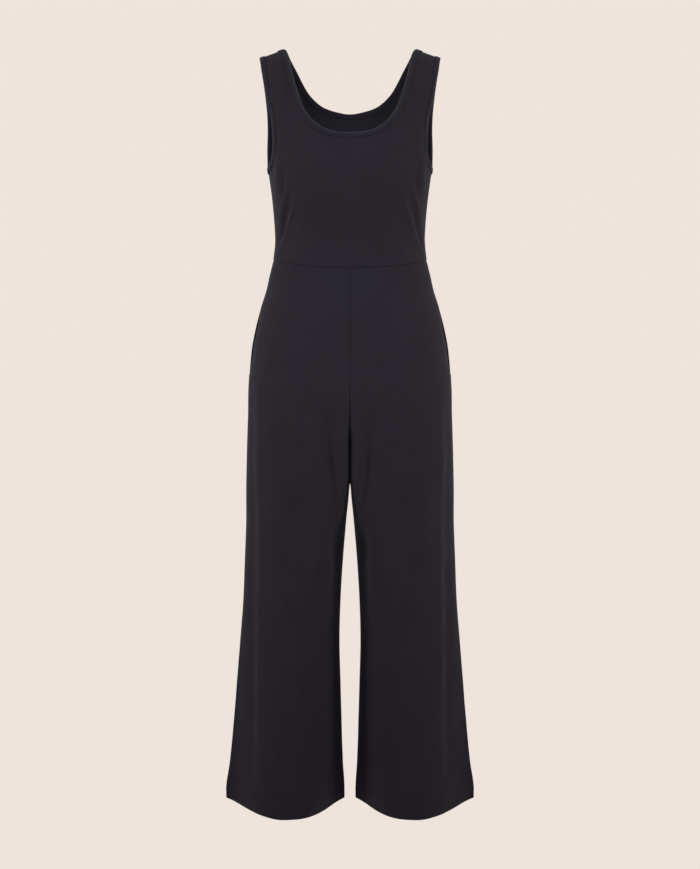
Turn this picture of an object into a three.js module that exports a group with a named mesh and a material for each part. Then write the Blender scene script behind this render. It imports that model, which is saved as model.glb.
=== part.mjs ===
// Sleeveless one-piece garment of matte black knit: a scoop-necked tank bodice
// sewn at the waist to wide cropped trousers. It is hollow and keeps the form it
// has when worn. Lengths are millimetres. +Z is up, the front faces -Y, +X is the
// wearer's left. The origin is level with the underside of the shoulder straps.

import * as THREE from "three";

// Cloth and seams

const WALL = 1.2;
const HALF_WALL = WALL / 2;
const SEAM_GAP = 0.3;
const HALF_GAP = SEAM_GAP / 2;
const HEM_DEPTH = 22;
const HEM_LAYER = 1.3;

// Main heights and places

const CREST_RUN = 52;
const NECK_POINT_X = 114.5;
const SHOULDER_FALL = 0.36;
const SHOULDER_FADE = -110;
const UNDERARM_RUN = -194;
const WAIST_HEIGHT = -348;
const WAIST_DIP_FRONT = 12;
const FORK_TOP_FRONT = -590;
const FORK_TOP_BACK = -540;
const FORK_HEIGHT = -650;
const LEGS_PART = -728;
const LEGS_APART = -745;
const LEGS_ROUND = -980;
const LEGS_SQUARE = -700;
const INNER_ROUND = 0.36;
const CROTCH_ROUND = 0.02;
const HEM_HEIGHT = -1298;
const HEM_SAG = 8;
const HEM_SAG_FROM = -1150;

// Side pockets set in the side seams

const POCKET_TOP = -430;
const POCKET_FOOT = -545;
const POCKET_GAPE = 4.6;
const POCKET_TOP_ROW = 3;
const POCKET_FOOT_ROW = 7;
const BAG_FOOT_ROW = 9;
const BAG_WALL = 1;
const BAG_GAP = 0.4;
const BAG_ROOM = 5;
const BAG_BACK_SHARE = 0.6;
const BAG_LIP = 0.6;

// Binding round the neck and the armholes

const BAND_WIDTH = 8;
const BAND_WALL = 1;
const BAND_GAP = 0.7;

// Mesh steps

const HALF_COLUMNS = 14;
const SHOULDER_COLUMNS = 3;
const LOWER_ROWS = 8;
const UPPER_ROWS = 18;
const ROW_CROWDING = 0.055;
const BEND_FADE = 2;
const NECK_CROWDING = 1.45;
const LEG_COLUMNS = 12;
const BAG_STATIONS = 5;
const BAG_SIDES = 6;

// A table is a line of column names and a list of rows, the first column its key.
const table = (columns, rows) => ({ columns: columns.split(" "), rows });

// Bodice by run, the length along the cloth from the waist up to the shoulder. The
// last row lies past the shoulder seam, and only makes the cloth level there.
const BODICE = table("run height side front back blunt", [
  [-361, -361, 134.4, 93, 78, 0.9],
  [-330, -330, 129.7, 94, 76, 0.89],
  [-305, -305, 128.7, 97, 76, 0.88],
  [-245, -245, 133.3, 111, 87, 0.86],
  [-194, -194, 140.4, 116, 96, 0.85],
  [-150, -150, 148.0, 109, 98, 0.82],
  [-110, -110, 152.0, 99, 94, 0.8],
  [-73, -75, 156.0, 88, 86, 0.76],
  [-36, -42, 161.0, 70, 72, 0.73],
  [1, -15, 166.0, 46, 47, 0.7],
  [31, 2, 169.0, 20, 20, 0.7],
  [52, 7, 170.0, 0, 0, 0.7],
  [73, 2, 169.0, -20, -20, 0.7],
]);

// Edges of the bodice: degrees round from the centre line, and run.
const NECK_FRONT = table("share turn run", [
  [0, 43.4, 52],
  [0.065, 40.8, 37],
  [0.13, 39.5, 22],
  [0.22, 38.3, 2],
  [0.36, 37.0, -33.5],
  [0.49, 34.4, -65],
  [0.61, 30.7, -94],
  [0.71, 25.3, -114.5],
  [0.82, 17.0, -130],
  [0.91, 9.0, -136.5],
  [1, 0, -138.5],
]);
const NECK_BACK = table("share turn run", [
  [0, 43.4, 52],
  [0.07, 41.0, 39],
  [0.14, 39.8, 26],
  [0.28, 37.4, 1],
  [0.41, 34.4, -22.8],
  [0.52, 31.4, -43],
  [0.64, 27.2, -62.2],
  [0.76, 20.5, -79],
  [0.85, 14.0, -87.4],
  [0.95, 4.2, -93.8],
  [1, 0, -94.8],
]);
const ARM_FRONT = table("share turn run", [
  [0, 90, -194],
  [0.1, 74, -187.5],
  [0.2, 64.6, -171.5],
  [0.33, 60.3, -147],
  [0.46, 60.1, -114],
  [0.6, 63.2, -77.5],
  [0.75, 64.4, -35],
  [0.92, 64.0, 27.5],
  [1, 64.3, 52],
]);
const ARM_BACK = table("share turn run", [
  [0, 90, -194],
  [0.05, 85.6, -190.6],
  [0.13, 79.2, -174],
  [0.27, 71.9, -142],
  [0.42, 68.5, -106.5],
  [0.58, 67.5, -68.5],
  [0.76, 66.3, -24.5],
  [0.93, 64.5, 35.5],
  [1, 64.3, 52],
]);

// One leg by height: half width to the side seam, place of the deepest point,
// half of the space between the legs, and how deep the front and the back go.
const LEG = table("height side peak inner front back blunt", [
  [-348, 131.6, 0, 0, 93, 77, 0.9],
  [-375, 138.5, 4, 0, 95, 83, 0.9],
  [-399, 144.0, 10, 0, 97, 92, 0.9],
  [-433, 154.8, 19, 0, 101, 104, 0.9],
  [-468, 163.9, 31, 0, 104, 113, 0.9],
  [-502, 170.4, 44, 0, 106, 118, 0.9],
  [-560, 175.6, 66, 0, 107, 117, 0.9],
  [-613, 176.9, 82, 0, 105, 112, 0.9],
  [-680, 179.4, 92, 0, 101, 107, 0.95],
  [-742, 181.1, 95, 1.2, 96, 102, 1.0],
  [-800, 181.6, 96, 6.5, 92, 99, 1.15],
  [-871, 184.5, 99, 12.4, 88, 96, 1.35],
  [-942, 187.6, 102, 16.6, 86, 94, 1.6],
  [-1014, 193.5, 106, 18.4, 86, 94, 1.9],
  [-1085, 199.6, 108, 16.7, 88, 95, 2.2],
  [-1158, 206.1, 110, 14.6, 92, 97, 2.6],
  [-1231, 213.4, 113, 12.1, 97, 100, 3.0],
  [-1274, 220.1, 114, 9.6, 101, 103, 3.3],
  [-1300, 220.6, 115, 9.4, 103, 104, 3.4],
]);

// Heights of the mesh rows of a trouser panel, from the waist to the hem.
const LEG_ROWS = [
  -348, -375, -400, -430, -460, -488, -516, -545, -568, -590, -608, -622, -633, -641, -646.5,
  -649.3, -650, -672, -700, -728, -745, -770, -805, -860, -920, -980, -1040, -1100, -1150,
  -1200, -1245,
];

// Largest folds: where each starts and ends, how wide it is and how far it stands
// out, minus for a hollow. Only sideways place and height are used.
const FRONT_FOLDS = table("x1 z1 x2 z2 width rise", [
  [98, -150, 119, -262, 13, -3.0],
  [100, -172, 126, -272, 9, 1.8],
  [169, -600, 173, -1230, 12, -3.4],
  [156, -620, 159, -1262, 11, 2.0],
  [101, -790, 103, -1190, 16, -2.4],
  [44, -900, 40, -1250, 16, -2.4],
  [38, -620, 24, -770, 11, -5.0],
  [24, -740, 21, -950, 12, -5.0],
]);
const BACK_FOLDS = table("x1 z1 x2 z2 width rise", [
  [92, -262, 60, -330, 15, -2.4],
  [152, -660, 160, -1262, 14, 2.2],
  [88, -700, 92, -1190, 18, -2.8],
  [30, -600, 74, -680, 14, -2.6],
]);

// Smooth value of a named column at a key.
function read(sheet, name, key) {
  const column = sheet.columns.indexOf(name);
  const rows = sheet.rows;
  const last = rows.length - 1;
  const sign = rows[last][0] > rows[0][0] ? 1 : -1;
  const keys = rows.map((row) => row[0] * sign);
  const at = Math.min(Math.max(key * sign, keys[0]), keys[last]);
  let i = 0;
  while (i < last - 1 && keys[i + 1] < at) i += 1;
  const slope = (k) => {
    const a = Math.max(k - 1, 0);
    const b = Math.min(k + 1, last);
    return (rows[b][column] - rows[a][column]) / (keys[b] - keys[a]);
  };
  const step = keys[i + 1] - keys[i];
  const s = (at - keys[i]) / step;
  const from = rows[i][column];
  const to = rows[i + 1][column];
  const bend = s * (1 - s) * step;
  const straight = from + (to - from) * s * s * (3 - 2 * s);
  return straight + bend * ((1 - s) * slope(i) - s * slope(i + 1));
}

const mix = (a, b, s) => a + (b - a) * s;
const clamp01 = (v) => Math.min(Math.max(v, 0), 1);
const degrees = (v) => (v * Math.PI) / 180;

// Steps of the upper bodice, closer together at the underarm and at the shoulder.
const upperShare = (j) => j / UPPER_ROWS - ROW_CROWDING * Math.sin((2 * Math.PI * j) / UPPER_ROWS);

function ease(from, to, v) {
  const s = clamp01((v - from) / (to - from));
  return s * s * (3 - 2 * s);
}

// How far the folds lift or sink the cloth at a place seen from the front or back.
function foldRise(folds, x, z) {
  let rise = 0;
  for (const [x1, z1, x2, z2, width, height] of folds.rows) {
    const dx = x2 - x1;
    const dz = z2 - z1;
    const along = ((Math.abs(x) - x1) * dx + (z - z1) * dz) / (dx * dx + dz * dz);
    const s = clamp01(along);
    const off = Math.hypot(Math.abs(x) - x1 - s * dx, z - z1 - s * dz) / width;
    rise += height * Math.sin(Math.PI * clamp01(0.08 + 0.84 * s)) * Math.exp(-off * off);
  }
  return rise;
}

// A point of the bodice. Face is -1 for the front and 1 for the back.
function bodicePoint(face, turn, run) {
  const side = read(BODICE, "side", run) - HALF_WALL;
  const depth = read(BODICE, face < 0 ? "front" : "back", run);
  const round = Math.pow(Math.max(Math.cos(turn), 0), read(BODICE, "blunt", run));
  const x = side * Math.sin(turn);
  const fall = SHOULDER_FALL * (Math.abs(x) - NECK_POINT_X);
  const z = read(BODICE, "height", run) - fall * ease(SHOULDER_FADE, CREST_RUN, run);
  const rise = foldRise(face < 0 ? FRONT_FOLDS : BACK_FOLDS, x, z) * round;
  const y = face * (HALF_GAP + depth * round + rise);
  return new THREE.Vector3(x, y, z);
}

// Share 0 to 1 from the armhole to the centre line gives a place on the top edge:
// first the shoulder seam, then the neckline.
function topEdge(face, share) {
  const neck = face < 0 ? NECK_FRONT : NECK_BACK;
  const arm = face < 0 ? ARM_FRONT : ARM_BACK;
  const shoulder = SHOULDER_COLUMNS / HALF_COLUMNS;
  if (share <= shoulder) {
    return [mix(read(arm, "turn", 1), read(neck, "turn", 0), share / shoulder), CREST_RUN];
  }
  const s = ((share - shoulder) / (1 - shoulder)) ** NECK_CROWDING;
  return [read(neck, "turn", s), read(neck, "run", s)];
}

// A place on the upper bodice, blended between its bottom and top edges. The bend of
// the armhole is added, and dies away towards the centre line.
function upperPlace(face, share, rise) {
  const arm = face < 0 ? ARM_FRONT : ARM_BACK;
  const top = topEdge(face, share);
  const bottom = [90 * (1 - share), UNDERARM_RUN];
  const side = [read(arm, "turn", rise), read(arm, "run", rise)];
  const armholeTop = topEdge(face, 0);
  const left = (1 - share) ** BEND_FADE;
  return [0, 1].map((k) => {
    const chord = mix([90, UNDERARM_RUN][k], armholeTop[k], rise);
    return mix(bottom[k], top[k], rise) + left * (side[k] - chord);
  });
}

// Points of a bodice panel, rows from the waist up, columns across the body.
function bodiceGrid(face) {
  const rows = [];
  for (let j = 0; j <= LOWER_ROWS; j += 1) {
    const row = [];
    for (let i = -HALF_COLUMNS; i <= HALF_COLUMNS; i += 1) {
      const turn = degrees((90 * i) / HALF_COLUMNS);
      const dip = face < 0 ? WAIST_DIP_FRONT * Math.cos(turn) ** 2 : 0;
      const waist = WAIST_HEIGHT + HALF_GAP - dip;
      row.push(bodicePoint(face, turn, mix(waist, UNDERARM_RUN, j / LOWER_ROWS)));
    }
    rows.push(row);
  }
  for (let j = 1; j <= UPPER_ROWS; j += 1) {
    const rise = upperShare(j);
    const row = [];
    for (let i = -HALF_COLUMNS; i <= HALF_COLUMNS; i += 1) {
      const [turn, run] = upperPlace(face, 1 - Math.abs(i) / HALF_COLUMNS, rise);
      row.push(bodicePoint(face, degrees(turn) * Math.sign(i), run));
    }
    rows.push(row);
  }
  return rows;
}

// How far out the centre seam lies at a height, as a share of the depth: 1 above the
// curved fork seam and 0 at its lowest point.
function seamLevel(face, height) {
  const top = face < 0 ? FORK_TOP_FRONT : FORK_TOP_BACK;
  const way = clamp01((top - height) / (top - FORK_HEIGHT));
  return (1 - way * way) ** 1.1;
}

// How much the front edge of the pocket mouth stands back from the side seam.
function mouthGape(height) {
  const s = clamp01((POCKET_TOP - height) / (POCKET_TOP - POCKET_FOOT));
  return POCKET_GAPE * Math.sin(Math.PI * s) ** 0.7;
}

// A point of a trouser panel on the wearer's left. Share runs from the centre or
// inner seam to the side seam. The legs are squarer where they press together.
function legPoint(face, share, height) {
  const key = Math.max(height, HEM_HEIGHT - 2);
  const level = seamLevel(face, height);
  const cornered = ease(0.95, 2, read(LEG, "blunt", key));
  const edge = HALF_GAP + HALF_WALL * cornered;
  const gape = face < 0 ? mouthGape(height) : 0;
  const side = read(LEG, "side", key) - HALF_WALL;
  const space = read(LEG, "inner", key) * ease(LEGS_PART, LEGS_APART, height);
  const inner = space + HALF_GAP + HALF_WALL * (1 - level);
  const peak = read(LEG, "peak", key);
  const depth = read(LEG, face < 0 ? "front" : "back", key) - HALF_WALL - edge;
  const half = read(LEG, "blunt", key) / 2;
  const across = (1 - Math.cos(Math.PI * share)) / 2;
  const x = mix(inner, side, across);
  const reach = x > peak ? (x - peak) / (side - peak) : (peak - x) / (peak - inner);
  const pressed = ease(LEGS_ROUND, LEGS_SQUARE, height);
  const square = 1 / mix(INNER_ROUND, CROTCH_ROUND, pressed);
  const drop = x > peak ? reach * reach : (1 - level) * reach ** square;
  const round = Math.max(1 - drop, 0) ** half;
  const sag = HEM_SAG * Math.sin(Math.PI * share) * ease(HEM_SAG_FROM, HEM_HEIGHT, height);
  const dip = face < 0 ? WAIST_DIP_FRONT * (1 - across * across) : 0;
  const z = height - sag - dip * ease(-399, WAIST_HEIGHT, height);
  const rise = foldRise(face < 0 ? FRONT_FOLDS : BACK_FOLDS, x, z);
  const pulled = gape * share ** 8;
  const y = edge + depth * round + rise * round * ease(-360, -420, height) + 0.6 * pulled;
  return new THREE.Vector3(x - pulled, face * y, z);
}

function legGrid(face) {
  const hemTop = HEM_HEIGHT + HEM_DEPTH;
  const heights = [...LEG_ROWS, hemTop, hemTop - 0.8, HEM_HEIGHT];
  heights[0] = WAIST_HEIGHT - HALF_GAP;
  return heights.map((height) => {
    const row = [];
    for (let i = 0; i <= LEG_COLUMNS; i += 1) row.push(legPoint(face, i / LEG_COLUMNS, height));
    return row;
  });
}

// Unit normals of a grid of points, turned away from the garment's hollow.
function gridNormals(rows, face) {
  const normals = rows.map((row, j) =>
    row.map((point, i) => {
      const up = rows[Math.min(j + 1, rows.length - 1)][i];
      const down = rows[Math.max(j - 1, 0)][i];
      const right = row[Math.min(i + 1, row.length - 1)];
      const left = row[Math.max(i - 1, 0)];
      const rise = new THREE.Vector3().subVectors(up, down);
      const across = new THREE.Vector3().subVectors(right, left);
      return new THREE.Vector3().crossVectors(across, rise).normalize();
    }),
  );
  const middle = normals[1][Math.floor(rows[0].length / 2)];
  if (middle.y * face < 0) normals.flat().forEach((normal) => normal.negate());
  return normals;
}

// Closed mesh from loops of points: each loop is joined to the next, and the two
// end loops are closed, or the last is joined to the first when it is a ring. Each
// square is cut along its shorter diagonal.
function loopMesh(loops, ring) {
  const size = loops[0].length;
  const points = loops.flat();
  const positions = points.flatMap((p) => [p.x, p.y, p.z]);
  const indices = [];
  const links = ring ? loops.length : loops.length - 1;
  for (let j = 0; j < links; j += 1) {
    const next = (j + 1) % loops.length;
    for (let i = 0; i < size; i += 1) {
      const k = (i + 1) % size;
      const a = j * size + i;
      const b = j * size + k;
      const c = next * size + k;
      const d = next * size + i;
      const first = points[a].distanceTo(points[c]);
      const second = points[b].distanceTo(points[d]);
      if (first < second) indices.push(a, b, c, a, c, d);
      else indices.push(a, b, d, b, c, d);
    }
  }
  if (!ring) {
    for (const [start, turn] of [[0, -1], [(loops.length - 1) * size, 1]]) {
      const half = size / 2;
      for (let i = 0; i < half - 1; i += 1) {
        const quad = [start + i, start + i + 1, start + size - 2 - i, start + size - 1 - i];
        if (turn < 0) quad.reverse();
        indices.push(quad[0], quad[1], quad[2], quad[0], quad[2], quad[3]);
      }
    }
  }
  return facedOut(positions, indices);
}

// Mesh with its faces outward, turned over where its volume comes out negative.
function facedOut(positions, indices) {
  let volume = 0;
  const at = (i) => new THREE.Vector3().fromArray(positions, i * 3);
  for (let i = 0; i < indices.length; i += 3) {
    const [a, b, c] = [at(indices[i]), at(indices[i + 1]), at(indices[i + 2])];
    volume += a.dot(b.cross(c));
  }
  if (volume < 0) {
    for (let i = 0; i < indices.length; i += 3) {
      [indices[i], indices[i + 1]] = [indices[i + 1], indices[i]];
    }
  }
  const geometry = new THREE.BufferGeometry();
  geometry.setAttribute("position", new THREE.Float32BufferAttribute(positions, 3));
  geometry.setIndex(indices);
  geometry.computeVertexNormals();
  return geometry;
}

// A grid of points made into a wall on its own side of the seams. Each row becomes
// one loop: along its outer face and back along its inner face. Nothing of it lies
// nearer to the middle plane than least.
function wallMesh(rows, face, innerDepth, least) {
  const normals = gridNormals(rows, face);
  const moved = (p, normal, distance) => {
    const q = p.clone().addScaledVector(normal, distance);
    q.x = Math.max(q.x, least);
    q.y = face * Math.max(face * q.y, HALF_GAP);
    return q;
  };
  const loops = rows.map((row, j) => {
    const outer = row.map((p, i) => moved(p, normals[j][i], HALF_WALL));
    const inner = row.map((p, i) => moved(p, normals[j][i], -innerDepth(j, i)));
    return [...outer, ...inner.reverse()];
  });
  return loopMesh(loops, false);
}

// A place moved a distance across the cloth, away from an edge and along it.
function bandFrame(face, turn, run, alongTurn, alongRun) {
  const small = 0.001;
  const base = bodicePoint(face, turn, run);
  const inside = Math.min(turn, Math.PI / 2 - 0.01);
  const perTurn = bodicePoint(face, inside + small, run);
  perTurn.sub(bodicePoint(face, inside - small, run));
  const stepUp = Math.min(run + 0.5, CREST_RUN);
  const perRun = bodicePoint(face, turn, stepUp).sub(bodicePoint(face, turn, run - 0.5));
  perTurn.divideScalar(2 * small);
  perRun.divideScalar(stepUp - run + 0.5);
  const normal = new THREE.Vector3().crossVectors(perTurn, perRun).normalize();
  if (face > 0) normal.negate();
  const edge = new THREE.Vector3();
  edge.addScaledVector(perTurn, alongTurn).addScaledVector(perRun, alongRun).normalize();
  return { base, normal, edge, perTurn, perRun };
}

// Loop of the binding's section at one place of an edge: a narrow U that closes
// over the raw edge and covers the same width on both faces.
function bandSection(face, place, ahead, behind, inward) {
  const [turn, run] = place;
  const along = [ahead[0] - behind[0], ahead[1] - behind[1]];
  const frame = bandFrame(face, turn, run, along[0], along[1]);
  const into = new THREE.Vector3().crossVectors(frame.normal, frame.edge).normalize();
  if (into.dot(inward) < 0) into.negate();
  const tt = frame.perTurn.lengthSq();
  const rr = frame.perRun.lengthSq();
  const tr = frame.perTurn.dot(frame.perRun);
  const it = into.dot(frame.perTurn);
  const ir = into.dot(frame.perRun);
  const area = tt * rr - tr * tr;
  const turnStep = ((it * rr - ir * tr) / area) * BAND_WIDTH;
  const runStep = ((ir * tt - it * tr) / area) * BAND_WIDTH;
  const farRun = Math.min(run + runStep, CREST_RUN);
  const far = bandFrame(face, turn + turnStep, farRun, along[0], along[1]);
  const low = HALF_WALL + BAND_GAP;
  const high = low + BAND_WALL;
  const place3 = (origin, normal, back, out) =>
    origin.clone().addScaledVector(into, -back).addScaledVector(normal, out);
  return [
    place3(far.base, far.normal, 0, high),
    place3(frame.base, frame.normal, BAND_GAP + BAND_WALL, high),
    place3(frame.base, frame.normal, BAND_GAP + BAND_WALL, -high),
    place3(far.base, far.normal, 0, -high),
    place3(far.base, far.normal, 0, -low),
    place3(frame.base, frame.normal, BAND_GAP, -low),
    place3(frame.base, frame.normal, BAND_GAP, low),
    place3(far.base, far.normal, 0, low),
  ];
}

// Places along an edge of the bodice, as turn in radians and run.
function neckPlaces(face) {
  const places = [];
  const steps = HALF_COLUMNS - SHOULDER_COLUMNS;
  const neck = face < 0 ? NECK_FRONT : NECK_BACK;
  for (let i = -steps; i <= steps; i += 1) {
    const share = (1 - Math.abs(i) / steps) ** NECK_CROWDING;
    places.push([Math.sign(i) * degrees(read(neck, "turn", share)), read(neck, "run", share)]);
  }
  return places;
}

function armPlaces(face) {
  const arm = face < 0 ? ARM_FRONT : ARM_BACK;
  const places = [];
  for (let j = 0; j <= UPPER_ROWS; j += 1) {
    const share = upperShare(j);
    places.push([degrees(read(arm, "turn", share)), read(arm, "run", share)]);
  }
  return places;
}

// Sections along one edge. The first and last stay clear of the other panel's.
function bandRun(face, places, inwardAt) {
  return places.map((place, i) => {
    const ahead = places[Math.min(i + 1, places.length - 1)];
    const behind = places[Math.max(i - 1, 0)];
    return bandSection(face, place, ahead, behind, inwardAt(place));
  });
}

// Two sections that meet at a seam are made one, halfway between them.
const meet = (one, other) => one.map((p, i) => p.clone().add(other[i]).multiplyScalar(0.5));

function ringFrom(frontRun, backRun) {
  const back = [...backRun].reverse();
  const join = meet(frontRun[frontRun.length - 1], back[0]);
  const close = meet(back[back.length - 1], frontRun[0]);
  return loopMesh([close, ...frontRun.slice(1, -1), join, ...back.slice(1, -1)], true);
}

function neckBinding() {
  const inward = ([turn]) => new THREE.Vector3(Math.sin(turn), 0, turn === 0 ? -1 : -Math.cos(turn));
  const front = bandRun(-1, neckPlaces(-1), inward);
  const back = bandRun(1, neckPlaces(1), inward);
  return ringFrom(front, back);
}

function armBinding() {
  const inward = ([turn, run]) => {
    const low = ease(UNDERARM_RUN + 40, UNDERARM_RUN, run);
    return new THREE.Vector3(low - 1, turn > 1.5 ? 0 : -0.01, -low);
  };
  const front = bandRun(-1, armPlaces(-1), inward);
  const back = bandRun(1, armPlaces(1), inward);
  return ringFrom(front, back);
}

// A point under a panel: in one of its columns, at a height between two of its
// rows, and a distance in from the middle of the cloth.
function underPanel(rows, normals, column, row, distance) {
  const j = Math.min(Math.floor(row), rows.length - 2);
  const i = Math.min(Math.floor(column), rows[0].length - 2);
  const inColumn = (grid, k) => grid[j][k].clone().lerp(grid[j + 1][k], row - j);
  const at = (grid) => inColumn(grid, i).lerp(inColumn(grid, i + 1), column - i);
  return at(rows).addScaledVector(at(normals).normalize(), -distance);
}

// The pocket bag hangs inside the front panel. Its mouth lies along the side seam,
// from the edge of the front to the edge of the back. Each station is a flat loop,
// up its near side and down its far side, and the last one is closed.
function pocketBag(frontRows, backRows) {
  const frontNormals = gridNormals(frontRows, -1);
  const backNormals = gridNormals(backRows, 1);
  const start = HALF_WALL + BAG_GAP;
  const outers = [];
  const inners = [];
  for (let k = 0; k <= BAG_STATIONS; k += 1) {
    const s = k / BAG_STATIONS;
    const top = mix(POCKET_TOP_ROW, POCKET_TOP_ROW + 0.8, s * s);
    const foot = mix(POCKET_FOOT_ROW, BAG_FOOT_ROW, Math.min(1, 3 * s)) - 1.2 * s * s;
    const room = BAG_ROOM * mix(1, 0.3, s);
    for (const [loops, inset] of [[outers, 0], [inners, 1]]) {
      const near = [];
      const far = [];
      for (let i = 0; i <= BAG_SIDES; i += 1) {
        const u = i / BAG_SIDES;
        const row = mix(foot - 0.06 * inset, top + 0.04 * inset, u);
        const open = 2.4 * BAG_WALL + room * (0.15 + 0.85 * Math.sin(Math.PI * u));
        const column = LEG_COLUMNS - k - (k > 0 ? BAG_LIP : 0);
        const one = underPanel(frontRows, frontNormals, column, row, start);
        const two = k === 0
          ? underPanel(backRows, backNormals, LEG_COLUMNS - BAG_BACK_SHARE, row, start)
          : underPanel(frontRows, frontNormals, column, row, start + open);
        const wall = new THREE.Vector3().subVectors(two, one).setLength(BAG_WALL * inset);
        near.push(one.add(wall));
        far.push(two.sub(wall));
      }
      loops.push([...near, ...far.reverse()]);
    }
  }
  inners.pop();
  return loopMesh([...inners.reverse(), ...outers], false);
}

const mirrored = (geometry) => {
  const positions = Array.from(geometry.getAttribute("position").array);
  for (let i = 0; i < positions.length; i += 3) positions[i] = -positions[i];
  return facedOut(positions, Array.from(geometry.getIndex().array));
};

// Named pieces

const jumpsuit = new THREE.Group();
jumpsuit.name = "jumpsuit";

function add(name, geometry, color) {
  const material = new THREE.MeshStandardMaterial({ color, roughness: 0.9, metalness: 0 });
  material.name = name;
  const mesh = new THREE.Mesh(geometry, material);
  mesh.name = name;
  jumpsuit.add(mesh);
}

const CLOTH = 0x28252b;
const BINDING = 0x2c292f;
const POCKETING = 0x222025;

const plain = () => HALF_WALL;
const hemRow = LEG_ROWS.length + 1;
const hemShare = (column) => clamp01(Math.min(column, LEG_COLUMNS - column) / 2);
const hemLayer = (row, column) => (row >= hemRow ? HEM_LAYER * hemShare(column) : 0);
const turnedUp = (row, column) => HALF_WALL + hemLayer(row, column);

const frontLeg = wallMesh(legGrid(-1), -1, turnedUp, HALF_GAP);
const backLeg = wallMesh(legGrid(1), 1, turnedUp, HALF_GAP);
const armBand = armBinding();
const bag = pocketBag(legGrid(-1), legGrid(1));

add("bodice_front", wallMesh(bodiceGrid(-1), -1, plain, -Infinity), CLOTH);
add("bodice_back", wallMesh(bodiceGrid(1), 1, plain, -Infinity), CLOTH);
add("trouser_front_left", frontLeg, CLOTH);
add("trouser_front_right", mirrored(frontLeg), CLOTH);
add("trouser_back_left", backLeg, CLOTH);
add("trouser_back_right", mirrored(backLeg), CLOTH);
add("neck_binding", neckBinding(), BINDING);
add("armhole_binding_left", armBand, BINDING);
add("armhole_binding_right", mirrored(armBand), BINDING);
add("pocket_bag_left", bag, POCKETING);
add("pocket_bag_right", mirrored(bag), POCKETING);

export default jumpsuit;
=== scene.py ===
"""Sleeveless wide-leg jumpsuit in matte black knit, filled out as worn.

The bodice is cut in a front and a back, the trousers in two fronts and two backs.
Bindings close the neck and the armholes, and pocket bags hang in the side seams.
Every piece of cloth is a thin wall worked out from the sections below. The tables
are in millimetres, and the meshes in metres. +Z is up and the front faces -Y.
"""

import math

import bpy
import numpy as np
from bpy.props import FloatProperty, FloatVectorProperty, PointerProperty
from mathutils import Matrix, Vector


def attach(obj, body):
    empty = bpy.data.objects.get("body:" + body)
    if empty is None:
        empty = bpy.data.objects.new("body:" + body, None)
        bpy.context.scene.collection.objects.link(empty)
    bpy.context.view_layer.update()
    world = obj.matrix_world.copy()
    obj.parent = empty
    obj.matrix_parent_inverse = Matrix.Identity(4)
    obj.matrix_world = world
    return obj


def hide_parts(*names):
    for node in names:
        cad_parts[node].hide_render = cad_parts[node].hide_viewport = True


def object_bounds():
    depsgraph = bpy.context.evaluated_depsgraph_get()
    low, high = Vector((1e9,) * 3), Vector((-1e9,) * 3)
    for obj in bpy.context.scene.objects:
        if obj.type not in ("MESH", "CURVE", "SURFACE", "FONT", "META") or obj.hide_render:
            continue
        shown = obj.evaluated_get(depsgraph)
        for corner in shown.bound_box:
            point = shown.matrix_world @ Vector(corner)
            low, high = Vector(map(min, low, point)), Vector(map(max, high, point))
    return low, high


bl_info = {
    "name": "Wide-leg jumpsuit",
    "version": (1, 0, 0),
    "blender": (4, 5, 0),
    "location": "View3D > Sidebar > Jumpsuit",
    "description": "Builds a sleeveless knit jumpsuit from its cut pieces",
    "category": "Add Mesh",
}

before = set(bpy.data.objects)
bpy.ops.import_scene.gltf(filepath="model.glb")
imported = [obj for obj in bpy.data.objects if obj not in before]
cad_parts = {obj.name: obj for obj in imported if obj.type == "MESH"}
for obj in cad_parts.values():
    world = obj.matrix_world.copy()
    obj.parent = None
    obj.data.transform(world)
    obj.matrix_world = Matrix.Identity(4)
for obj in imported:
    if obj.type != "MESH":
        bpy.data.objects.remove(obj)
CAD_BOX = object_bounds()

# Cloth, seams and hem, in millimetres

HALF_WALL = 0.6
HALF_GAP = 0.05
SEAM_LAP = 0.005
SEAM_DENT = 0.8
SEAM_ROLL = 1.5
CENTRE_SEAM_DENT = 1.36
CENTRE_SEAM_ROLL = 1.8
CENTRE_SEAM_FADE = 6.0
HEM_DEPTH = 22.0
HEM_LAYER = 1.1
HEM_STEP = 0.25
HEM_STITCH_DENT = 0.3
HEM_STITCH_ROLL = 1.1
HEM_WAVE = 0.9
EDGE_ROUND = 0.45

# Main heights, places and shares

CREST_RUN = 52.0
NECK_POINT_X = 114.5
SHOULDER_FALL = 0.36
SHOULDER_FADE = -110.0
UNDERARM_RUN = -194.0
WAIST_HEIGHT = -348.0
WAIST_DIP_FRONT = 12.0
WAIST_DIP_FOOT = -399.0
FORK_TOP = {-1: -590.0, 1: -540.0}
FORK_HEIGHT = -650.0
INNER_ROUND = 0.36
CROTCH_ROUND = 0.02
CROTCH_EASES = (-980.0, -700.0)
LEGS_PART = (-728.0, -745.0)
CORNER_BLUNT = (0.95, 2.0)
HEM_HEIGHT = -1298.0
HEM_SAG = 8.0
HEM_SAG_FROM = -1150.0
HEM_WAVE_FROM = -1180.0
POCKET_TOP = -430.0
POCKET_FOOT = -545.0
POCKET_OUT = 0.6
BAG_FOOT = -588.0
BAG_ROOM = 5.0
BAG_WALL = 1.0
BAG_CLEAR = 0.4
BAG_REACH = 5 / 12
BAG_TOP_FALL = 18.0
BAG_FOOT_RISE = 24.0
BAG_MOUTH_SHARE = 0.955

# Where folds and unevenness set in

# On the bodice, by share of the width from the side and by distance from the waist
BODICE_FOLD_FADES = (0.035, 8.0)
BODICE_SOFT_FADES = (0.12, 32.0)
# On the bodice, by distance from the top edge
TOP_FADE = 26.0
# On the leg, by share of the width from the centre and from the side
LEG_SIDE_FADES = (0.12, 0.1)
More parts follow.
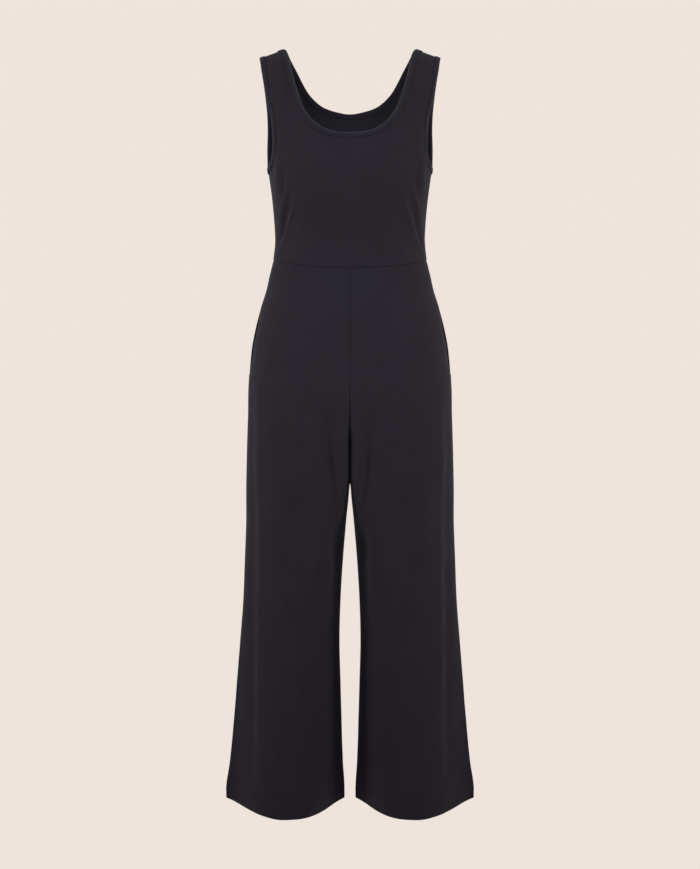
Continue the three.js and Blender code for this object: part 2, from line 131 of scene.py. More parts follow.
# On the leg, by height
LEG_FOLDS_FROM = (-360.0, -400.0)
LEG_SOFT_FROM = (-380.0, -520.0)
SIDE_SEAM_FADES = (-900.0, -600.0)
# How much more uneven the legs are than the bodice
LEG_SOFT = 1.2
# How far the folds of the bodice's two halves differ, and over what height
HALVES_DIFFER = 0.16
HALVES_WAVE = 37.0

# Fineness of the meshes

SHOULDER_SHARE = 3 / 14
NECK_CROWDING = 1.45
ROW_CROWDING = 0.055
BODICE_COLUMNS = 104
SIDE_CROWDING = 0.22
BODICE_LOWER_ROWS = 62
BODICE_UPPER_ROWS = 104
SEAM_ROWS = np.array([0, 0.35, 0.75, 1.2, 1.8, 2.6, 3.8])
SEAM_CLEAR = 5.2
LEG_COLUMNS = 76
HIP_ROWS = 74
FORK_ROWS = 34
LEG_ROWS = 190
HEM_STEP_ROWS = np.array([2.4, 1.2, 0.5, 0, -0.5, -1.2, -2.4])
HEM_CLEAR = 4.0
HEM_ROWS = 9
BAND_STEPS = 130
BAG_STATIONS = 30
BAG_SIDES = 26

# Finish of the cloth, in metres, and the scales of its noises

WALE = 0.0011
COURSE = 0.0009
COURSE_LEAN = 0.35
STITCH_LENGTH = 0.0026
STITCH_HALF_WIDTH = 0.00032
STITCH_HOLLOW = 0.0012
STITCH_PLACE = 0.0016
# Reach of the painted highlight along a binding's rolled edge, where it catches light
PAINTED_HIGHLIGHT_REACH = 0.0042
BUMP_DEPTH = 0.00045
SPECKLE_SCALE = 620.0
GRAIN_SCALE = 210.0
CLOUD_SCALE = 14.0

# Stage, in metres

FLOOR_HALF = 30.0
FLOOR_CORNERS = ((-1, -1), (1, -1), (1, 1), (-1, 1))
FLOOR_DROP = 1.3
LIGHT_AIM = (0, 0, -0.42)


class Table:
    """Rows of named columns; the first column is the key."""

    def __init__(self, columns, rows):
        self.columns = columns.split()
        self.rows = np.array(rows, float)

    def read(self, name, key):
        """Smooth curve through a column: a cubic between rows, its slopes taken from
        the rows on either side."""
        keys = self.rows[:, 0]
        values = self.rows[:, self.columns.index(name)]
        sign = 1.0 if keys[-1] > keys[0] else -1.0
        keys = keys * sign
        at = np.clip(np.asarray(key, float) * sign, keys[0], keys[-1])
        last = len(keys) - 1
        before = np.maximum(np.arange(last + 1) - 1, 0)
        after = np.minimum(np.arange(last + 1) + 1, last)
        slope = (values[after] - values[before]) / (keys[after] - keys[before])
        i = np.clip(np.searchsorted(keys, at, side="left") - 1, 0, last - 1)
        step = keys[i + 1] - keys[i]
        s = (at - keys[i]) / step
        level = values[i] + (values[i + 1] - values[i]) * s * s * (3 - 2 * s)
        return level + s * (1 - s) * step * ((1 - s) * slope[i] - s * slope[i + 1])


# Bodice by run, the length along the cloth from the waist up to the shoulder
BODICE = Table("run height side front back blunt", [
    (-361, -361, 134.4, 93, 78, 0.9),
    (-330, -330, 129.7, 94, 76, 0.89),
    (-305, -305, 128.7, 97, 76, 0.88),
    (-245, -245, 133.3, 111, 87, 0.86),
    (-194, -194, 140.4, 116, 96, 0.85),
    (-150, -150, 148.0, 109, 98, 0.82),
    (-110, -110, 152.0, 99, 94, 0.8),
    (-73, -75, 156.0, 88, 86, 0.76),
    (-36, -42, 161.0, 70, 72, 0.73),
    (1, -15, 166.0, 46, 47, 0.7),
    (31, 2, 169.0, 20, 20, 0.7),
    (52, 7, 170.0, 0, 0, 0.7),
    (73, 2, 169.0, -20, -20, 0.7),
])

# Edges of the bodice: degrees round from the centre line, and run
NECK = {
    -1: Table("share turn run", [
        (0, 43.4, 52), (0.065, 40.8, 37), (0.13, 39.5, 22), (0.22, 38.3, 2),
        (0.36, 37.0, -33.5), (0.49, 34.4, -65), (0.61, 30.7, -94), (0.71, 25.3, -114.5),
        (0.82, 17.0, -130), (0.91, 9.0, -136.5), (1, 0, -138.5),
    ]),
    1: Table("share turn run", [
        (0, 43.4, 52), (0.07, 41.0, 39), (0.14, 39.8, 26), (0.28, 37.4, 1),
        (0.41, 34.4, -22.8), (0.52, 31.4, -43), (0.64, 27.2, -62.2), (0.76, 20.5, -79),
        (0.85, 14.0, -87.4), (0.95, 4.2, -93.8), (1, 0, -94.8),
    ]),
}
ARM = {
    -1: Table("share turn run", [
        (0, 90, -194), (0.1, 74, -187.5), (0.2, 64.6, -171.5), (0.33, 60.3, -147),
        (0.46, 60.1, -114), (0.6, 63.2, -77.5), (0.75, 64.4, -35), (0.92, 64.0, 27.5),
        (1, 64.3, 52),
    ]),
    1: Table("share turn run", [
        (0, 90, -194), (0.05, 85.6, -190.6), (0.13, 79.2, -174), (0.27, 71.9, -142),
        (0.42, 68.5, -106.5), (0.58, 67.5, -68.5), (0.76, 66.3, -24.5), (0.93, 64.5, 35.5),
        (1, 64.3, 52),
    ]),
}

# One leg by height: half width, place of the deepest point, half of the space
# between the legs, how deep the front and back go, and how pointed the corners are
LEG = Table("height side peak inner front back blunt", [
    (-348, 131.6, 0, 0, 93, 77, 0.9),
    (-375, 138.5, 4, 0, 95, 83, 0.9),
    (-399, 144.0, 10, 0, 97, 92, 0.9),
    (-433, 154.8, 19, 0, 101, 104, 0.9),
    (-468, 163.9, 31, 0, 104, 113, 0.9),
    (-502, 170.4, 44, 0, 106, 118, 0.9),
    (-560, 175.6, 66, 0, 107, 117, 0.9),
    (-613, 176.9, 82, 0, 105, 112, 0.9),
    (-680, 179.4, 92, 0, 101, 107, 0.95),
    (-742, 181.1, 95, 1.2, 96, 102, 1.0),
    (-800, 181.6, 96, 6.5, 92, 99, 1.15),
    (-871, 184.5, 99, 12.4, 88, 96, 1.35),
    (-942, 187.6, 102, 16.6, 86, 94, 1.6),
    (-1014, 193.5, 106, 18.4, 86, 94, 1.9),
    (-1085, 199.6, 108, 16.7, 88, 95, 2.2),
    (-1158, 206.1, 110, 14.6, 92, 97, 2.6),
    (-1231, 213.4, 113, 12.1, 97, 100, 3.0),
    (-1274, 220.1, 114, 9.6, 101, 103, 3.3),
    (-1300, 220.6, 115, 9.4, 103, 104, 3.4),
])

# Folds placed one by one: the two ends, the width, how far the cloth stands out there
# (minus for a hollow), and how crisp its crest is, from 1, sharp, to 2, soft
FOLD_COLUMNS = "x1 z1 x2 z2 width rise crisp"
BODICE_FRONT_FOLDS = Table(FOLD_COLUMNS, [
    (120, -172, 120, -232, 7, 4.0, 2.0),
    (108, -206, 114, -250, 4.2, -2.8, 1.9),
    (103, -200, 125, -330, 3.2, 2.6, 1.2),
    (99, -236, 122, -326, 6.0, -5.0, 1.9),
    (91, -250, 124, -344, 3.6, 2.6, 1.3),
    (82, -262, 112, -347, 9, -1.4, 2.0),
    (118, -120, 112, -160, 10, 0.9, 2.0),
    (40, -345, 96, -338, 9, -0.8, 2.0),
    (96, -40, 104, -110, 9, -0.7, 2.0),
])
BODICE_BACK_FOLDS = Table(FOLD_COLUMNS, [
    (104, -214, 122, -300, 9, -1.9, 2.0),
    (94, -238, 118, -318, 5, 1.5, 1.5),
    (28, -316, 92, -330, 8, -1.5, 2.0),
    (18, -300, 74, -309, 6, 1.1, 1.6),
    (10, -338, 70, -344, 6, 0.8, 1.7),
    (112, -120, 100, -175, 10, -1.1, 2.0),
    (52, -96, 70, -150, 11, -0.9, 2.0),
])
LEG_FRONT_FOLDS = Table(FOLD_COLUMNS, [
    (167, -560, 169, -820, 7, -3.4, 1.8),
    (168, -760, 172, -1235, 9, -5.0, 1.9),
    (155, -560, 155, -900, 4, 1.5, 1.1),
    (155, -820, 162, -1260, 4.5, 1.8, 1.1),
    (133, -980, 136, -1270, 12, -1.2, 2.0),
    (103, -780, 105, -1210, 9, -3.4, 2.0),
    (82, -1050, 92, -1285, 14, -1.4, 2.0),
    (38, -610, 23, -775, 10, -8.0, 2.0),
    (24, -740, 21, -950, 11, -7.0, 2.0),
    (48, -900, 40, -1285, 15, -2.6, 2.0),
    (21, -900, 20, -1288, 3.5, 1.6, 1.3),
    (28, -980, 27, -1288, 2.6, -1.8, 1.7),
    (16, -560, 42, -640, 7, -0.5, 1.8),
    (24, -420, 60, -560, 16, -0.9, 2.0),
    (120, -372, 150, -430, 8, -0.9, 2.0),
    (66, -366, 88, -420, 10, -0.7, 2.0),
])
LEG_BACK_FOLDS = Table(FOLD_COLUMNS, [
    (14, -575, 58, -628, 7, -2.6, 1.8),
    (20, -600, 92, -652, 8, -2.2, 2.0),
    (24, -626, 70, -712, 7, 1.5, 1.5),
    (150, -640, 156, -1000, 6, 1.5, 1.2),
    (154, -900, 164, -1292, 7, 1.5, 1.2),
    (176, -860, 184, -1240, 12, -2.8, 2.0),
    (84, -700, 92, -1190, 13, -2.6, 2.0),
    (118, -940, 122, -1280, 12, -1.4, 2.0),
    (36, -680, 30, -1000, 13, -2.4, 2.0),
    (46, -960, 42, -1288, 14, -2.0, 2.0),
    (120, -392, 142, -452, 9, -1.2, 2.0),
    (30, -372, 82, -388, 8, -1.0, 2.0),
    (100, -560, 150, -610, 12, -1.0, 2.0),
])

# Small unevenness of the cloth: length of the waves each way, height and start
RIPPLES = Table("across down height start", [
    (96, 340, 0.55, 0.4),
    (61, 180, 0.35, 2.1),
    (38, 120, 0.20, 4.4),
    (140, 92, 0.30, 1.3),
    (23, 67, 0.08, 3.0),
])


def ease(start, end, value):
    """0 before start and 1 after end, with a level tangent at both."""
    s = np.clip((value - start) / (end - start), 0, 1)
    return s * s * (3 - 2 * s)


def fold_rise(folds, x, z):
    """Sum over the folds of rise * exp(-(distance to the line / width) ** crisp),
    which dies away towards both ends of the line."""
    total = np.zeros(np.broadcast(x, z).shape)
    for x1, z1, x2, z2, width, rise, crisp in folds.rows:
        dx, dz = x2 - x1, z2 - z1
        along = ((x - x1) * dx + (z - z1) * dz) / (dx * dx + dz * dz)
        s = np.clip(along, 0, 1)
        off = np.hypot(x - x1 - s * dx, z - z1 - s * dz) / width
        swell = np.sin(math.pi * (0.06 + 0.88 * s)) ** 0.8
        total += rise * swell * np.exp(-np.sqrt(off * off + 0.02) ** crisp)
    return total


def unevenness(x, z, start):
    """Sum of long sine waves across and down the cloth."""
    total = 0
    for across, down, height, first in RIPPLES.rows:
        wave = 2 * math.pi * (x / across) + 1.7 * np.sin(2 * math.pi * z / down + start)
        total = total + height * np.sin(wave + first + start)
    return total


def grid_normals(points, face):
    """Cross product of the steps along the columns and along the rows, turned so
    that the middle of the piece faces the way of its side of the garment."""
    across = np.gradient(points, axis=1)
    along = np.gradient(points, axis=0)
    normals = np.cross(across, along)
    normals /= np.linalg.norm(normals, axis=-1, keepdims=True) + 1e-12
    middle = normals[len(points) // 3, points.shape[1] // 2]
    return -normals if middle[1] * face < 0 else normals


def arc_lengths(points, axis):
    """Distance along the rows or columns from the first point."""
    steps = np.linalg.norm(np.diff(points, axis=axis), axis=-1)
    lengths = np.cumsum(steps, axis=axis)
    pad = [(0, 0), (0, 0)]
    pad[axis] = (1, 0)
    return np.pad(lengths, pad)


# Bodice

def bodice_point(face, turn, run):
    """x = side * sin(turn), y = depth * cos(turn) ** blunt, z = height less the fall
    of the shoulder, the sizes read at the run. Face is -1 for front and 1 for back."""
    side = BODICE.read("side", run) - HALF_WALL
    depth = BODICE.read("front" if face < 0 else "back", run)
    bulge = np.maximum(np.cos(turn), 0) ** BODICE.read("blunt", run)
    x = side * np.sin(turn)
    fall = SHOULDER_FALL * (np.abs(x) - NECK_POINT_X)
    z = BODICE.read("height", run) - fall * ease(SHOULDER_FADE, CREST_RUN, run)
    return np.stack([x, face * (HALF_GAP + depth * bulge) + 0 * z, z], axis=-1)


def top_edge(face, share):
    """The shoulder seam, then the neckline, by share from the armhole to the centre."""
    shoulder = np.clip(share / SHOULDER_SHARE, 0, 1)
    s = np.clip((share - SHOULDER_SHARE) / (1 - SHOULDER_SHARE), 0, 1) ** NECK_CROWDING
    arm_turn = ARM[face].read("turn", 1.0)
    on_seam = arm_turn + (NECK[face].read("turn", 0.0) - arm_turn) * shoulder
    turn = np.where(share <= SHOULDER_SHARE, on_seam, NECK[face].read("turn", s))
    run = np.where(share <= SHOULDER_SHARE, CREST_RUN, NECK[face].read("run", s))
    return np.stack([turn, run], axis=-1)


def upper_place(face, share, rise):
    """Turn and run of the upper bodice: a blend between its bottom and top edges,
    plus the bend of the armhole, which dies away towards the centre line."""
    bottom = np.stack([90 * (1 - share), np.full_like(rise, UNDERARM_RUN)], axis=-1)
    side = np.stack([ARM[face].read("turn", rise), ARM[face].read("run", rise)], axis=-1)
    left, r = (1 - share[..., None]) ** 2, rise[..., None]
    corner = np.array([90.0, UNDERARM_RUN])
    chord = corner + (top_edge(face, np.array(0.0)) - corner) * r
    return bottom + (top_edge(face, share) - bottom) * r + left * (side - chord)


def upper_share(count):
    """Steps up the upper bodice, closer together at the underarm and shoulder."""
    s = np.linspace(0, 1, count)
    return s - ROW_CROWDING * np.sin(2 * math.pi * s)


def bodice_shares():
    """Steps round the bodice from right to left, closer together at the side seams."""
    s = np.linspace(-1, 1, 2 * BODICE_COLUMNS + 1)
    return s + SIDE_CROWDING * np.sin(math.pi * s)


def seam_roll(distance, dent=SEAM_DENT, roll=SEAM_ROLL):
    """Dent where the cloth rolls into a seam: -dent * exp(-(distance / roll) ** 2)."""
    return -dent * np.exp(-(distance / roll) ** 2)


def bodice_grid(face):
    """Rows from the waist seam to the top edge, columns from right to left."""
    sideways = bodice_shares()
    height = UNDERARM_RUN - WAIST_HEIGHT
    lower = np.linspace(SEAM_CLEAR / height, 1, BODICE_LOWER_ROWS)
    lower = np.concatenate([SEAM_ROWS / height, lower])[:, None]
    turn = np.radians(90 * sideways)[None, :] + 0 * lower
    dip = WAIST_DIP_FRONT * np.cos(turn) ** 2 if face < 0 else 0 * turn
    waist = WAIST_HEIGHT + HALF_GAP - dip
    low = bodice_point(face, turn, waist + (UNDERARM_RUN - waist) * lower)
    rise = upper_share(BODICE_UPPER_ROWS)[1:, None] + 0 * sideways[None, :]
    share = 1 - np.abs(sideways)[None, :] + 0 * rise
    place = upper_place(face, share, rise)
    high = bodice_point(face, np.radians(place[..., 0]) * np.sign(sideways), place[..., 1])
    return np.concatenate([low, high])


def bodice_cloth(face):
    """The bodice surface, moved along its normals by the folds and unevenness, which
    fade to nothing at the side seams, waist, neck and armholes. The folds of its two
    halves differ a little, by a sine of the height."""
    points = bodice_grid(face)
    x, z = points[..., 0], points[..., 2]
    from_side = 1 - np.abs(bodice_shares())[None, :]
    from_waist = arc_lengths(points, 0)
    from_top = arc_lengths(points[::-1], 0)[::-1]
    round_way = arc_lengths(points, 1)

    def faded(height, fades):
        """The height times how far it has set in from the side seam and waist."""
        return height * ease(0, fades[0], from_side) * ease(0, fades[1], from_waist)

    folds = BODICE_FRONT_FOLDS if face < 0 else BODICE_BACK_FOLDS
    rise = fold_rise(folds, np.abs(x), z)
    rise = rise * (1 + HALVES_DIFFER * np.sign(x) * np.sin(z / HALVES_WAVE))
    soft = unevenness(x, z, 0.6 * face)
    on_shoulder = ease(SHOULDER_SHARE, SHOULDER_SHARE - 0.05, from_side)
    seams = seam_roll(from_waist) + seam_roll(from_top) * on_shoulder
    seams = seams + seam_roll(round_way) + seam_roll(round_way[:, -1:] - round_way)
    move = faded(rise, BODICE_FOLD_FADES) + faded(soft, BODICE_SOFT_FADES)
    move = move * ease(0, TOP_FADE, from_top) + seams
    return points + grid_normals(points, face) * move[..., None]


# Trousers

def seam_level(face, height):
    """How far out the centre seam lies, as a share of the depth: 1 above the fork,
    then (1 - way down ** 2) ** 1.1 to 0 at its lowest point."""
    top = FORK_TOP[face]
    way = np.clip((top - height) / (top - FORK_HEIGHT), 0, 1)
    return (1 - way * way) ** 1.1


def mouth_gape(height, gape):
    """How far the front edge of the pocket mouth is pulled in, a long low bow."""
    s = np.clip((POCKET_TOP - height) / (POCKET_TOP - POCKET_FOOT), 0, 1)
    return gape * np.sin(math.pi * s) ** 0.7


def leg_point(face, share, height, gape=0.0):
    """x runs from the centre seam or inseam to the side seam. y = depth * (1 - (1 -
    level) * reach ** power) ** (blunt / 2), with reach the distance from the deepest
    point as a share of the way to the seam, level how deep the fork seam lies, and
    power 2, or more on the inner side, most where the legs press together. The front
    edge of a pocket mouth is pulled in by its gape, and out by a share of it."""
    key = np.maximum(height, HEM_HEIGHT - 2)
    level = seam_level(face, height)
    blunt = LEG.read("blunt", key)
    cornered = ease(*CORNER_BLUNT, blunt)
    edge = HALF_GAP + (HALF_WALL - SEAM_LAP - HALF_GAP) * cornered
    side = LEG.read("side", key) - HALF_WALL
    inner = LEG.read("inner", key) * ease(*LEGS_PART, height)
    inner = inner + HALF_GAP * level + (HALF_WALL - SEAM_LAP) * (1 - level)
    peak = LEG.read("peak", key)
    depth = LEG.read("front" if face < 0 else "back", key) - HALF_WALL - edge
    across = (1 - np.cos(math.pi * share)) / 2
    x = inner + (side - inner) * across
    outer = x > peak
    way = np.where(outer, side - peak, peak - inner)
    reach = np.abs(x - peak) / np.where(np.abs(way) < 1e-6, 1, way)
    pressed = ease(*CROTCH_EASES, height)
    square = 1 / (INNER_ROUND + (CROTCH_ROUND - INNER_ROUND) * pressed)
    drop = np.where(outer, reach ** 2, (1 - level) * reach ** square)
    bulge = np.maximum(1 - drop, 0) ** (blunt / 2)
    sag = HEM_SAG * np.sin(math.pi * share) * ease(HEM_SAG_FROM, HEM_HEIGHT, height)
    dip = WAIST_DIP_FRONT * (1 - across * across) if face < 0 else 0
    z = height - sag - dip * ease(WAIST_DIP_FOOT, WAIST_HEIGHT, height)
    pulled = mouth_gape(height, gape) * share ** 8 if face < 0 else 0
    out = edge + depth * bulge + POCKET_OUT * pulled
    return np.stack([x - pulled, face * out, z], axis=-1)


def leg_heights():
    """Rows down the leg, closer together at the fork, with the step of the hem."""
    fork_top = FORK_TOP[-1]
    fork = np.sin(np.linspace(0, math.pi / 2, FORK_ROWS))[:-1]
    hem_top = HEM_HEIGHT + HEM_DEPTH
    return np.concatenate([
        WAIST_HEIGHT - HALF_GAP - SEAM_ROWS,
        np.linspace(WAIST_HEIGHT - SEAM_CLEAR, fork_top, HIP_ROWS, endpoint=False),
        fork_top + (FORK_HEIGHT - fork_top) * fork,
        np.linspace(FORK_HEIGHT, hem_top + HEM_CLEAR, LEG_ROWS, endpoint=False),
        hem_top + HEM_STEP_ROWS,
        np.linspace(hem_top - HEM_CLEAR, HEM_HEIGHT, HEM_ROWS),
    ])


def leg_cloth(face, gape):
    """The left leg's surface with its folds and unevenness along the normals, and the
    depth of cloth inside it, which doubles in the hem. The hem's own stitches press a
    line into the cloth, and its lower edge waves a little."""
    heights = leg_heights()[:, None]
    share = np.linspace(0, 1, LEG_COLUMNS + 1)[None, :] + 0 * heights
    points = leg_point(face, share, heights + 0 * share, gape)
    x, z = points[..., 0], points[..., 2]
    folds = LEG_FRONT_FOLDS if face < 0 else LEG_BACK_FOLDS
    rise = fold_rise(folds, x, z) * ease(*LEG_FOLDS_FROM, heights)
    soft = LEG_SOFT * unevenness(x, z, 1.9 + face) * ease(*LEG_SOFT_FROM, heights)
    hem_wave = np.sin(share * 9 + face) * ease(HEM_WAVE_FROM, HEM_HEIGHT, heights)
    hem_line = heights - (HEM_HEIGHT + HEM_DEPTH)
    stitches = seam_roll(hem_line, HEM_STITCH_DENT, HEM_STITCH_ROLL)
    hem = HEM_WAVE * hem_wave + HEM_STEP * ease(1, -1, hem_line) + stitches
    sides = ease(0, LEG_SIDE_FADES[0], share) * ease(0, LEG_SIDE_FADES[1], 1 - share)
    round_way = arc_lengths(points, 1)
    from_waist = arc_lengths(points, 0)
    centre = seam_roll(round_way, CENTRE_SEAM_DENT, CENTRE_SEAM_ROLL)
    centre = centre * ease(0, CENTRE_SEAM_FADE, from_waist) * seam_level(face, heights)
    side_seam = seam_roll(round_way[:, -1:] - round_way) * ease(*SIDE_SEAM_FADES, heights)
    move = (rise + soft + hem) * sides + seam_roll(from_waist) + centre + side_seam
    points = points + grid_normals(points, face) * move[..., None]
    points[..., 0] = np.maximum(points[..., 0], -SEAM_LAP)
    doubled = ease(0, -1.2, hem_line)
    corner = np.clip(np.minimum(share, 1 - share) * 6, 0, 1)
    return points, HALF_WALL + HEM_LAYER * doubled * corner


# Meshes

def wall_mesh(name, points, inside, face, leg=False):
    """A closed wall: the surface moved out by half a wall, the same moved in, and a
    rounded rim between them, drawn to the seam where it lies close to one. The
    texture's coordinates are metres along the rows and the columns."""
    lap = HALF_GAP + SEAM_LAP
    normals = grid_normals(points, face)
    inside = np.broadcast_to(inside, points.shape[:2])
    outer = points + normals * HALF_WALL
    inner = points - normals * inside[..., None]
    for layer in (outer, inner):
        layer[..., 1] = face * np.maximum(face * layer[..., 1], -SEAM_LAP)
        if leg:
            layer[..., 0] = np.maximum(layer[..., 0], -SEAM_LAP)
    rows, columns = points.shape[:2]
    index = np.arange(rows * columns).reshape(rows, columns)

    def border(grid):
        """The outermost rows and columns of a grid, once round."""
        right, top, left = grid[1:, -1], grid[-1, -2::-1], grid[-2:0:-1, 0]
        return np.concatenate([grid[0], right, top, left])

    def outward(edge, next_to_it, reach):
        """A step of the given length past an edge, away from what lies next to it."""
        way = edge - next_to_it
        return reach * way / (np.linalg.norm(way, axis=-1, keepdims=True) + 1e-9)

    out = np.zeros_like(points)
    out[0] += outward(points[0], points[1], lap)
    out[-1] += outward(points[-1], points[-2], EDGE_ROUND if leg else lap)
    out[:, 0] += outward(points[:, 0], points[:, 1], lap)
    out[:, -1] += outward(points[:, -1], points[:, -2], lap)
    ring = border(index)
    middle = (border(outer) + border(inner)) / 2 + border(out)
    middle[face * middle[:, 1] < 2 * HALF_WALL, 1] = -face * SEAM_LAP
    if leg:
        touching = middle[:, 0] < 2 * HALF_WALL
        middle[touching, 0] = -SEAM_LAP
    count = rows * columns
    vertices = np.concatenate([outer.reshape(-1, 3), inner.reshape(-1, 3), middle])
    a, b = index[:-1, :-1].ravel(), index[:-1, 1:].ravel()
    c, d = index[1:, 1:].ravel(), index[1:, :-1].ravel()
    front = np.stack([a, b, c, d], axis=1)
    back = np.stack([d, c, b, a], axis=1) + count
    here = np.arange(len(ring))
    after = (here + 1) % len(ring)
    mid = 2 * count + here
    mid_after = 2 * count + after
    edge_out = np.stack([ring[after], ring[here], mid, mid_after], axis=1)
    edge_in = np.stack([mid_after, mid, ring[here] + count, ring[after] + count], axis=1)
    faces = np.concatenate([front, back, edge_out, edge_in])
    u = arc_lengths(points, 1)
    u = u - u[:, columns // 2][:, None]
    v = arc_lengths(points, 0)
    uv = np.stack([u, v], axis=-1).reshape(-1, 2)
    uv = np.concatenate([uv, uv, uv[ring]]) / 1000
    return cloth_object(name, vertices, faces, uv)


def signed_volume(vertices, faces):
    """Six times the volume inside the faces, below 0 where they face inward: the sum
    of a . (b x c) over the two triangles of each face."""
    a, b, c, d = (vertices[faces[:, k]] for k in range(4))
    first = np.einsum("ij,ij->i", a, np.cross(b, c)).sum()
    return first + np.einsum("ij,ij->i", a, np.cross(c, d)).sum()


def cloth_object(name, vertices, faces, uv):
    """A smooth mesh object with its faces outward, from millimetres."""
    if signed_volume(vertices, faces) < 0:
        faces = faces[:, ::-1]
    mesh = bpy.data.meshes.new(name)
    mesh.from_pydata((vertices / 1000).tolist(), [], faces.tolist())
    layer = mesh.uv_layers.new(name="cloth")
    layer.data.foreach_set("uv", uv[faces.ravel()].ravel().astype(np.float32))
    mesh.shade_smooth()
    mesh.update()
    piece = bpy.data.objects.new(name, mesh)
    bpy.context.scene.collection.objects.link(piece)
    return piece


def mirrored(points):
    """The points on the other side of the centre line: x changes its sign."""
    return points * np.array([-1.0, 1.0, 1.0])


def hand_over(piece, node, material):
    """Gives a piece its material and puts it in the place of its node."""
    piece.data.materials.append(material)
    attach(piece, "root")
    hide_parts(node)


def hang_panel(piece, node, material):
    """Hands a panel over: gives it its material and puts it in the place of its node."""
    hand_over(piece, node, material)


# Bindings

def edge_places(face, edge):
    """Turn in radians and run along the neckline, right to left, or along the left
    armhole, from the underarm up."""
    if edge == "neck":
        s = np.linspace(-1, 1, 2 * BAND_STEPS + 1)
        share = (1 - np.abs(s)) ** NECK_CROWDING
        turn = np.sign(s) * np.radians(NECK[face].read("turn", share))
        return turn, NECK[face].read("run", share)
    share = upper_share(BAND_STEPS + 1)
    return np.radians(ARM[face].read("turn", share)), ARM[face].read("run", share)


def surface_frame(face, turn, run):
    """Point, normal and the two tangents of the bodice surface, by small steps."""
    small, step = 1e-4, 0.25
    inside = np.clip(turn, -math.pi / 2 + 0.01, math.pi / 2 - 0.01)
    per_turn = bodice_point(face, inside + small, run) - bodice_point(face, inside - small, run)
    up = np.minimum(run + step, CREST_RUN + 0.2)
    per_run = bodice_point(face, turn, up) - bodice_point(face, turn, run - step)
    per_turn /= 2 * small
    per_run /= (up - run + step)[..., None]
    normal = np.cross(per_turn, per_run)
    normal /= np.linalg.norm(normal, axis=-1, keepdims=True)
    return bodice_point(face, turn, run), normal * (1 if face < 0 else -1), per_turn, per_run


def band_profile(width, wall, gap):
    """Closed outline of the binding's section, across the cloth and out of it: over
    the outer face, round the raw edge, under the inner face and back inside."""
    low, high = HALF_WALL + gap, HALF_WALL + gap + wall
    bend = np.linspace(math.pi / 2, -math.pi / 2, 9)[1:-1]
    over = [(width, low), (width + 0.2, (low + high) / 2), (width - 0.1, high - 0.05)]
    over += [(width - 0.9, high + 0.02), (width * 0.75, high + 0.16), (width * 0.5, high + 0.26)]
    over += [(width * 0.25, high + 0.22), (width * 0.08, high + 0.06), (0.0, high)]
    round_edge = [(-(gap + wall) * math.cos(t), high * math.sin(t)) for t in bend]
    under = [(u, -n) for u, n in reversed(over)]
    lining = [(width, -low), (0.0, -low), (-gap, -low * 0.5), (-gap, low * 0.5), (0.0, low)]
    return np.array(over + round_edge + under + lining[1:])


def band_sections(face, edge, band):
    """Carries the section along one edge. A point at a distance in from the edge lies
    on the bodice surface there, and is moved along that surface's normal."""
    turn, run = edge_places(face, edge)
    _, normal, per_turn, per_run = surface_frame(face, turn, run)
    along = np.gradient(turn)[:, None] * per_turn + np.gradient(run)[:, None] * per_run
    into = np.cross(normal, along)
    into /= np.linalg.norm(into, axis=-1, keepdims=True)
    if edge == "neck":
        toward = np.stack([np.sin(turn), 0 * turn, -np.cos(turn)], axis=-1)
    else:
        low = ease(UNDERARM_RUN + 40, UNDERARM_RUN, run)
        toward = np.stack([low - 1, 0 * low, -low], axis=-1)
    into *= np.where((into * toward).sum(-1) < 0, -1.0, 1.0)[:, None]
    tt = (per_turn ** 2).sum(-1)
    rr = (per_run ** 2).sum(-1)
    tr = (per_turn * per_run).sum(-1)
    it = (into * per_turn).sum(-1)
    ir = (into * per_run).sum(-1)
    area = tt * rr - tr * tr
    turn_step = (it * rr - ir * tr) / area
    run_step = (ir * tt - it * tr) / area
    sections = []
    for across, out in band:
        reach = max(across, 0.0)
        at_run = np.minimum(run + run_step * reach, CREST_RUN)
        point, up, _, _ = surface_frame(face, turn + turn_step * reach, at_run)
        sections.append(point + into * min(across, 0.0) + up * out)
    return np.stack(sections, axis=1)


def band_ring(edge, band):
    """The front and the back run of the binding, joined into a ring at the shoulders
    or at the shoulder and underarm."""
    front = band_sections(-1, edge, band)
    back = band_sections(1, edge, band)[::-1]
    join = (front[-1] + back[0]) / 2
    close = (back[-1] + front[0]) / 2
    return np.concatenate([close[None], front[1:-1], join[None], back[1:-1]])


def ring_mesh(name, sections):
    """A closed ring from its sections. The texture runs in metres along the binding
    and across it."""
    steps, size = sections.shape[:2]
    index = np.arange(steps * size).reshape(steps, size)
    ahead = np.roll(index, -1, axis=0)
    faces = np.stack([index, np.roll(index, -1, axis=1), np.roll(ahead, -1, axis=1), ahead], axis=-1)
    centre = sections.mean(axis=1)
    stride = np.linalg.norm(np.roll(centre, -1, axis=0) - centre, axis=-1)
    u = np.concatenate([[0], np.cumsum(stride)[:-1]])[:, None] + np.zeros((1, size))
    v = np.cumsum(np.linalg.norm(np.diff(sections[0], axis=0, prepend=sections[0][:1]), axis=-1))
    uv = np.stack([u, v[None, :] + 0 * u], axis=-1).reshape(-1, 2) / 1000
    return cloth_object(name, sections.reshape(-1, 3), faces.reshape(-1, 4), uv)


# Pocket bags

